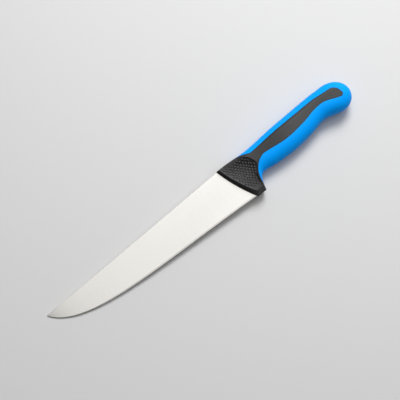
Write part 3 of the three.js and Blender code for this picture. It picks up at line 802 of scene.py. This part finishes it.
def patch_grid(lines):
    """One thumb patch, from the bolster's front to the lip: rows run along the handle, spread from the back
    to the guard's end, with columns close together in the leaning front and in the band before the lip."""
    b, hull = lines.bolster, lines.hull
    down = (1 - np.cos(np.linspace(0, np.pi, PATCH_ROWS)))[:, None] / 2
    over_patch = np.linspace(0, 1, PATCH_COLUMNS)[None, 1:-1]
    up_lip = np.sin(np.linspace(0, np.pi / 2, LIP_COLUMNS))[None, :]
    cuts = np.cumsum([FRONT_STEPS.size, PATCH_COLUMNS - 2])
    y = -b.guard_depth * down * np.ones((1, cuts[-1] + LIP_COLUMNS))

    def foot(at):
        """Where that band starts."""
        return lines.patch_edge(at) - LIP_BAND * np.minimum(lines.lip_stretch(at), MOST_STRETCH)

    for _ in range(SETTLE_ROUNDS):
        near, middle, far = np.split(y, cuts, axis=1)
        first = lines.front(-near) + lines.draft(-near) * FRONT_STEPS[None, :]
        start = lines.front(-middle) + lines.draft(-middle) * FRONT_STEPS[-1]
        last = mix(foot(far), lines.patch_edge(far), up_lip)
        x = np.concatenate([first, mix(start, foot(middle), over_patch), last], axis=1)
        y = mix(hull.back(x), -b.guard_depth, down)
    return np.stack([x, y, lines.core_height(x, y)], axis=-1)


def panel_lines(lines, lip_up):
    """Upper and lower line of the neck and the side panel, point by point: the lip and then the back strip's
    edge, over the guard's rear and then the belly band's edge."""
    h, g = lines.handle, lines.grip
    rear = np.concatenate([lines.guard_line(lines.bolster.guard_depth, g.tail_depth), lines.tail[::-1]])
    distance = stations(rear)
    level_with = np.interp(lip_up[:, 1], rear[:, 1], distance)
    at_turn = np.interp(-NECK_TURN, rear[:, 1], distance)
    at_neck = np.interp(FAN_END, rear[-LINE_STEPS:, 0], distance[-LINE_STEPS:])
    climb = stations(lip_up)
    climb_start = np.interp(-NECK_TURN, lip_up[:, 1], climb)
    climb_part = (climb - climb_start) / (climb[-1] - climb_start)
    lip_low = along(rear, np.where(climb_part < 0, level_with, mix(at_turn, at_neck, climb_part)))

    nose = np.concatenate([lip_up[-1:], lines.nose[lines.nose[:, 0] > lip_up[-1, 0]]])
    upper_body = spaced(chain(nose, graph(lines.top, g.full_x, lines.turn_x)), BODY_ROWS)
    fan_from = [lip_up[-1, 0], g.full_x, h.swell_x, lines.turn_x]
    fan_to = [FAN_END, g.neck_x + FAN_STEP, h.swell_x, lines.turn_x]
    low_edge = chain(lines.tail[::-1], graph(lines.low, g.neck_x, lines.turn_x))
    lower_body = beside(low_edge, np.interp(upper_body[:, 0], fan_from, fan_to))
    end_x = mix(lines.turn_x, lines.end[0], np.sin(np.linspace(0, np.pi / 2, END_ROWS)))
    upper = chain(lip_up, upper_body, beside(lines.top_end, end_x))
    lower = chain(lip_low, lower_body, beside(lines.low_end[::-1], end_x))
    return upper, lower


def panel_grid(lines, patch_edge):
    """Neck and side panel behind the patch's edge: straight rows from the upper line to the lower one, with
    a small round along the edges of the soft grip."""
    g = lines.grip
    lip_up = patch_edge[::-1, :2]
    upper, lower = panel_lines(lines, lip_up)
    width = np.linalg.norm(lower - upper, axis=1, keepdims=True)
    most = ROUND_SHARE * width
    upper_round = lines.soft_round(upper)
    upper_round[: len(lip_up)] = 0
    upper_fine = np.full_like(width, g.edge_round)
    upper_fine[: len(lip_up)] = lines.bolster.lip_round
    first = arc_steps(np.minimum(upper_fine, most), ROUND_COLUMNS)
    last = arc_steps(np.minimum(g.edge_round, most), ROUND_COLUMNS)[:, ::-1]
    distance = columns(width, first, last, PANEL_COLUMNS)
    points = across_rows(upper, lower, distance, width)
    upper_drop = rounded_off(distance, upper_round)
    lower_drop = rounded_off(width - distance, lines.soft_round(lower))
    height = lines.core_height(points[..., 0], points[..., 1]) - np.maximum(upper_drop, lower_drop)
    return lifted(points, np.maximum(height, 0))


def core_surface(settings):
    """Handle core: the two thumb patches, and the neck with its side panels, joined along the lip. Walls
    close it along the bolster's front, the guard's end and the edges of the soft grip."""
    lines = SideLines(settings)
    patch = patch_grid(lines)
    beside_strip = np.count_nonzero(patch[:, -1, 1] > lines.fore_nose[-1, 1])
    shared = patch[beside_strip - 1 :, -1]
    panel = panel_grid(lines, shared)
    panel[: len(shared), 0] = shared[::-1]
    work = Patchwork()
    work.close(work.both_sides(patch), (ALL, 0), (-1, ALL), (slice(beside_strip), -1))
    work.close(work.both_sides(panel), (ALL, -1), (0, ALL), (slice(len(shared) - 1, None), 0))
    return work


def bump_surface(settings):
    """Thumb bumps: domes on a slanted lattice inside the patch's margins. A dome's height over the patch
    falls as the square of the distance from its middle, and a short skirt and a base close it below."""
    lines = SideLines(settings)
    u = settings.bumps
    step = np.arange(-LATTICE_REACH, LATTICE_REACH + 1)
    i, j = (table.ravel() for table in np.meshgrid(step, step))
    x = u.first_x + i * u.pitch_a * np.cos(u.lean_a) + j * u.pitch_b * np.cos(u.lean_b)
    y = -u.first_depth + i * u.pitch_a * np.sin(u.lean_a) + j * u.pitch_b * np.sin(u.lean_b)
    inside = x > lines.front(-y) + lines.draft(-y) + u.front_margin
    inside &= lines.from_lip(x, y) > u.lip_margin
    inside &= y < lines.hull.back(x) - u.back_margin
    inside &= y > -lines.bolster.guard_depth + u.guard_margin
    dome = np.sin(np.linspace(0, np.pi / 2, DOME_RINGS))
    out = np.concatenate([dome, [1, 0]])[:, None] * u.radius
    up = np.concatenate([u.rise * (1 - dome**2), [-u.skirt, -u.skirt]])[:, None]
    turn = np.linspace(0, 2 * np.pi, BUMP_SIDES + 1)[None, :]
    x = x[inside, None, None] + out * np.cos(turn)
    y = y[inside, None, None] + out * np.sin(turn)
    work = Patchwork()
    work.both_sides(np.stack([x, y, lines.core_height(x, y) + up], axis=-1))
    return work


def grip_lines(lines):
    """Inner and outer line of the soft grip, point by point: the hard panel's edge and the silhouette beside
    it, from the back strip's tip, round the butt, to the tail behind the guard."""
    h, g, hull = lines.handle, lines.grip, lines.hull
    butt = ellipse_quarter((lines.turn_x, -h.butt_depth), (h.butt_run, h.butt_depth - h.butt_drop))
    hook = (h.butt_x - h.hook_x, h.butt_depth - h.hook_depth)
    under = ellipse_quarter((h.hook_x, -h.butt_depth), hook, turned=True)
    split = np.searchsorted(-under[:, 1], g.end_depth)
    tail_split = np.searchsorted(-lines.tail[:, 1], h.notch_depth - NOTCH_LEAD)
    lead_x = h.notch_x + NOTCH_LEAD
    guard = chain(graph(hull.belly, lead_x, h.notch_x), lines.guard_line(h.notch_depth, g.tail_depth))
    strip = spaced(chain(lines.nose, graph(lines.top, g.full_x, lines.turn_x)), STRIP_ROWS)
    band = spaced(graph(lines.low, lines.turn_x, g.neck_x), STRIP_ROWS)
    inner = chain(
        strip, spaced(lines.top_end, BUTT_ROWS), spaced(lines.low_end, BUTT_ROWS), band,
        spaced(lines.tail[: tail_split + 1], TAIL_ROWS), spaced(lines.tail[tail_split:], TAIL_ROWS))
    outer = chain(
        over(hull.back, strip[:, 0]),
        spaced(chain(butt, under[: split + 1]), BUTT_ROWS),
        spaced(chain(under[split:], graph(hull.belly, h.hook_x, lines.turn_x)), BUTT_ROWS),
        over(hull.belly, band[:, 0]),
        spaced(graph(hull.belly, g.neck_x, lead_x), TAIL_ROWS),
        spaced(guard, TAIL_ROWS))
    inner = shifted(inner, g.groove)
    inner[:, 1] = np.clip(inner[:, 1], hull.belly(inner[:, 0]), hull.back(inner[:, 0]))
    for line in (inner, outer):
        line[0, 0] += g.groove
        line[-1, 1] += g.groove
    return inner, outer


def grip_surface(settings):
    """Soft grip: rows run from the hard panel's edge out to the silhouette. The height is the hull, with a
    small round along the panel's edge, and the far side is its mirror image."""
    lines = SideLines(settings)
    inner, outer = grip_lines(lines)
    width = np.linalg.norm(outer - inner, axis=1, keepdims=True)
    edge_round = np.minimum(lines.soft_round(inner), ROUND_SHARE * width)
    first = arc_steps(edge_round, ROUND_COLUMNS)
    fall = np.cos(np.linspace(0, np.pi / 2, GRIP_COLUMNS))[1:]
    distance = np.concatenate([first, mix(width, first[:, -1:], fall)], axis=1)
    points = across_rows(inner, outer, distance, width)
    height = lines.hull.height(points[..., 0], points[..., 1]) - rounded_off(distance, edge_round)
    height[:, -1] = 0
    work = Patchwork()
    sides = work.both_sides(lifted(points, np.maximum(height, 0)))
    work.close(sides, (ALL, 0), (0, ALL), (-1, ALL))
    return work


class Amount:
    """A shader socket in sums: each operator adds a Math node."""

    def __init__(self, tree, socket):
        self.tree = tree
        self.socket = socket

    def math(self, operation, a, b):
        """A Math node on two numbers or sockets."""
        return self.tree.node("ShaderNodeMath", {"operation": operation}, {0: a, 1: b})

    def __add__(self, other):
        return self.math("ADD", self, other)

    def __sub__(self, other):
        return self.math("SUBTRACT", self, other)

    def __rsub__(self, other):
        return self.math("SUBTRACT", other, self)

    def __mul__(self, other):
        return self.math("MULTIPLY", self, other)

    def __pow__(self, power):
        return self.math("POWER", self, power)

    def at_least(self, least):
        """The greater of this and a least value."""
        return self.math("MAXIMUM", self, least)

    __radd__ = __add__
    __rmul__ = __mul__


class NodeTree:
    """A node tree that is written as expressions."""

    def __init__(self, tree):
        self.tree = tree
        tree.nodes.clear()

    def node(self, kind, settings, inputs, output=0):
        """Adds a node: its settings first, then its sockets' values or links; gives one of its outputs."""
        made = self.tree.nodes.new(kind)
        for name, value in settings.items():
            setattr(made, name, value)
        for name, value in inputs.items():
            if isinstance(value, Amount):
                self.tree.links.new(value.socket, made.inputs[name])
            else:
                made.inputs[name].default_value = value
        return Amount(self, made.outputs[output]) if made.outputs else made

    def noise(self, waves, detail=2.0, rough=0.5, stretch=(1, 1, 1)):
        """Soft noise from 0 to 1 on the piece's own coordinates, with a number of waves to the metre, times
        a stretch along each axis."""
        own = self.node("ShaderNodeTexCoord", {}, {}, "Object")
        stretched = self.node("ShaderNodeMapping", {}, {"Vector": own, "Scale": stretch})
        inputs = {"Vector": stretched, "Scale": waves, "Detail": detail, "Roughness": rough}
        return self.node("ShaderNodeTexNoise", {}, inputs)

    def blend(self, part, a, b):
        """A colour a part of the way from one to another."""
        first, second = (c if isinstance(c, Amount) else (*c[:3], 1) for c in (a, b))
        return self.node("ShaderNodeMix", {"data_type": "RGBA"}, {"Factor": part, 6: first, 7: second}, 2)

    def bump(self, height, depth):
        """A normal that is tilted by a height, in metres for a height of 1."""
        return self.node("ShaderNodeBump", {}, {"Height": height, "Distance": depth, "Strength": 1.0})

    def surface(self, inputs):
        """A Principled surface as the material's output."""
        shader = self.node("ShaderNodeBsdfPrincipled", {}, inputs)
        self.node("ShaderNodeOutputMaterial", {}, {"Surface": shader})


def new_finish(name):
    """An empty material and its node tree."""
    material = bpy.data.materials.new(name)
    material.use_nodes = True
    return material, NodeTree(material.node_tree)


def steel_finish(finishes):
    """Satin ground steel: fine grind lines from the back to the edge, soft clouds of tone, and painted
    shade: a darker line where the bevel starts, which stands in for its darker reflection."""
    material, tree = new_finish("satin_steel")
    lines = tree.noise(GRIND_LINES, detail=3.0, rough=0.6, stretch=LINE_STRETCH)
    bands = tree.noise(GRIND_BANDS, stretch=BAND_STRETCH)
    clouds = tree.noise(STEEL_CLOUDS, detail=3.0)
    # Mask of the painted shade line along the bevel's start
    painted_shade_line = tree.node("ShaderNodeAttribute", {"attribute_name": MARK}, {}, "Fac")
    of_lines, of_bands, of_clouds = TONE_SHARES
    tone = lines * of_lines + bands * of_bands + clouds * of_clouds - TONE_START
    ground = tree.blend(tone, finishes.steel_dark, finishes.steel)
    gloss = (clouds - NOISE_MIDDLE) * CLOUD_GLOSS + (lines - NOISE_MIDDLE) * LINE_GLOSS
    tree.surface({
        "Base Color": tree.blend(painted_shade_line, ground, finishes.steel_painted_shade),
        "Metallic": 1.0,
        "Roughness": finishes.steel_rough + gloss,
        "Normal": tree.bump(lines + bands * BAND_RISE, GRIND_DEPTH),
    })
    return material


def plastic_finish(name, grain, deep, pale, rough, shine):
    """Moulded plastic: a fine grain in its height, tone and gloss, under faint broad clouds."""
    material, tree = new_finish(name)
    fine = tree.noise(grain.waves, rough=0.6)
    clouds = tree.noise(grain.clouds, detail=3.0)
    gloss = (clouds - NOISE_MIDDLE) * grain.cloud_gloss + (fine - NOISE_MIDDLE) * grain.gloss
    tree.surface({
        "Base Color": tree.blend(fine * grain.share + clouds * (1 - grain.share), deep, pale),
        "Roughness": rough + gloss,
        "Specular IOR Level": shine,
        "Normal": tree.bump(fine, grain.depth),
    })
    return material


def add_piece(context, name, surface, finish, slot, sharp, *nodes):
    """Links a piece's mesh at the origin, gives it its finish and lets it ride on the part's body."""
    settings = context.scene.knife
    piece = bpy.data.objects.new(name, surface(settings).mesh(name, settings, sharp))
    piece.data.materials.append(finish)
    context.scene.collection.objects.link(piece)
    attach(piece, "root")
    if nodes:
        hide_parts(*nodes)


def add_floor(scene, setup):
    """A wide pale square at the height that the knife lies on."""
    side = FLOOR_SIDE / 2
    corners = np.array([[-side, -side], [side, -side], [side, side], [-side, side]])
    mesh = bpy.data.meshes.new("floor")
    mesh.from_pydata(lifted(corners, np.full(4, CAD_BOX[0][2])), [], [(0, 1, 2, 3)])
    material, tree = new_finish("pale_floor")
    tree.surface({
        "Base Color": (*setup.floor, 1),
        "Roughness": setup.floor_rough,
        "Specular IOR Level": setup.floor_shine,
    })
    mesh.materials.append(material)
    floor = bpy.data.objects.new("floor", mesh)
    scene.collection.objects.link(floor)


def add_sky(scene, setup):
    """Soft light from all round: a faint even one, one from the key light's side that falls as the cosine,
    and a broad glow that falls as a power of the cosine from its middle, which leans from straight above
    towards the key light. The camera sees the floor's own tone."""
    world = bpy.data.worlds.new("studio")
    world.use_nodes = True
    tree = NodeTree(world.node_tree)
    direction = tree.node("ShaderNodeTexCoord", {}, {}, "Generated")

    def cosine(axis):
        """Cosine of the angle from an axis, and 0 beyond a quarter turn."""
        inputs = {0: direction, 1: axis}
        return tree.node("ShaderNodeVectorMath", {"operation": "DOT_PRODUCT"}, inputs, "Value").at_least(0)

    towards_key = Vector((*setup.key_place[:2], 0)).normalized()
    middle = towards_key * np.sin(setup.lean) + Vector((0, 0, np.cos(setup.lean)))
    glow = cosine(middle) ** GLOW_POWER * setup.zenith + cosine(towards_key) * setup.aside + setup.horizon
    seen = tree.node("ShaderNodeLightPath", {}, {}, "Is Camera Ray")
    light = tree.node("ShaderNodeBackground", {}, {"Color": (1, 1, 1, 1), "Strength": glow})
    behind = tree.node("ShaderNodeBackground", {}, {"Color": (*setup.floor, 1), "Strength": 1.0})
    sky = tree.node("ShaderNodeMixShader", {}, {0: seen, 1: light, 2: behind})
    tree.node("ShaderNodeOutputWorld", {}, {"Surface": sky})
    scene.world = world


def add_softbox(scene, name, middle, side, radiance):
    """A square softbox aimed at the knife. Its power is its face's brightness times its area and pi."""
    light = bpy.data.lights.new(name, "AREA")
    light.size = side
    light.energy = radiance * np.pi * side**2
    softbox = bpy.data.objects.new(name, light)
    softbox.location = middle
    softbox.rotation_euler = Vector(middle).to_track_quat("Z", "Y").to_euler()
    scene.collection.objects.link(softbox)


def add_camera(scene, setup):
    """A camera at a distance from its target, at an azimuth from -Y and an elevation above the floor."""
    camera = bpy.data.cameras.new("camera")
    camera.sensor_fit = "HORIZONTAL"
    camera.lens = setup.focal / IMAGE_SIDE * camera.sensor_width
    camera.clip_start = NEAREST
    flat = np.cos(setup.elevation)
    back = Vector((np.sin(setup.azimuth) * flat, -np.cos(setup.azimuth) * flat, np.sin(setup.elevation)))
    viewer = bpy.data.objects.new("camera", camera)
    viewer.location = Vector(setup.target) + back * setup.distance
    viewer.rotation_euler = back.to_track_quat("Z", "Y").to_euler()
    scene.collection.objects.link(viewer)
    scene.camera = viewer


class KNIFE_OT_add_blade(Operator):
    """Add the ground steel blade with its tang"""

    bl_idname = "knife.add_blade"
    bl_label = "Blade"

    def execute(self, context):
        finish = steel_finish(context.scene.knife.finishes)
        add_piece(context, "blade_steel", blade_surface, finish, "blade_steel", SHARP_STEEL, "blade")
        return {"FINISHED"}


class KNIFE_OT_add_core(Operator):
    """Add the hard handle core: bolster, guard, neck and side panels"""

    bl_idname = "knife.add_core"
    bl_label = "Handle Core"

    def execute(self, context):
        f = context.scene.knife.finishes
        finish = plastic_finish(
            "matte_black_plastic", HARD_GRAIN, f.plastic, f.plastic_pale, f.plastic_rough, f.plastic_shine)
        add_piece(
            context, "core_plastic", core_surface, finish, "hard_plastic", SHARP_PLASTIC, "handle_core")
        return {"FINISHED"}


class KNIFE_OT_add_bumps(Operator):
    """Add the raised bumps of the two thumb patches"""

    bl_idname = "knife.add_bumps"
    bl_label = "Thumb Bumps"

    def execute(self, context):
        f = context.scene.knife.finishes
        finish = plastic_finish(
            "smooth_black_plastic", HARD_GRAIN, f.plastic, f.plastic_pale, f.bump_rough, f.bump_shine)
        add_piece(context, "thumb_bumps", bump_surface, finish, "hard_plastic", SHARP_PLASTIC)
        return {"FINISHED"}


class KNIFE_OT_add_grip(Operator):
    """Add the soft grip round the back, the butt and the belly of the handle"""

    bl_idname = "knife.add_grip"
    bl_label = "Soft Grip"

    def execute(self, context):
        f = context.scene.knife.finishes
        finish = plastic_finish(
            "satin_blue_soft_plastic", SOFT_GRAIN, f.soft_deep, f.soft, f.soft_rough, f.soft_shine)
        add_piece(context, "grip_soft", grip_surface, finish, "soft_grip", SHARP_PLASTIC, "soft_grip")
        return {"FINISHED"}


class KNIFE_OT_add_stage(Operator):
    """Add the pale floor, the soft studio light and the camera"""

    bl_idname = "knife.add_stage"
    bl_label = "Studio Stage"

    def execute(self, context):
        scene = context.scene
        setup = scene.knife.stage
        scene.view_settings.view_transform = "Standard"
        add_floor(scene, setup)
        add_sky(scene, setup)
        add_softbox(scene, "key_light", setup.key_place, setup.key_side, setup.key)
        add_softbox(scene, "overhead_light", setup.overhead_place, setup.overhead_side, setup.overhead)
        add_camera(scene, setup)
        return {"FINISHED"}


class KNIFE_PT_panel(Panel):
    """Lists the knife's pieces and its stage"""

    bl_idname = "KNIFE_PT_panel"
    bl_label = "Meat Knife"
    bl_space_type = "VIEW_3D"
    bl_region_type = "UI"
    bl_category = "Knife"

    def draw(self, context):
        for step in STEPS:
            self.layout.operator(step.bl_idname)


STEPS = (KNIFE_OT_add_blade, KNIFE_OT_add_core, KNIFE_OT_add_bumps, KNIFE_OT_add_grip, KNIFE_OT_add_stage)
GROUPS = (
    BladeSizes, HandleSizes, BolsterSizes, BumpSizes, GripSizes, KnifeFinishes, StageSetup, KnifeSettings)
CLASSES = (*GROUPS, *STEPS, KNIFE_PT_panel)


def register():
    """Registers the settings, the operators and the panel."""
    for cls in CLASSES:
        bpy.utils.register_class(cls)
    bpy.types.Scene.knife = PointerProperty(type=KnifeSettings)


def unregister():
    """Takes them out again."""
    del bpy.types.Scene.knife
    for cls in reversed(CLASSES):
        bpy.utils.unregister_class(cls)


def main():
    """Builds the knife and its stage."""
    register()
    bpy.ops.knife.add_blade()
    bpy.ops.knife.add_core()
    bpy.ops.knife.add_bumps()
    bpy.ops.knife.add_grip()
    bpy.ops.knife.add_stage()


if __name__ == "__main__":
    main()
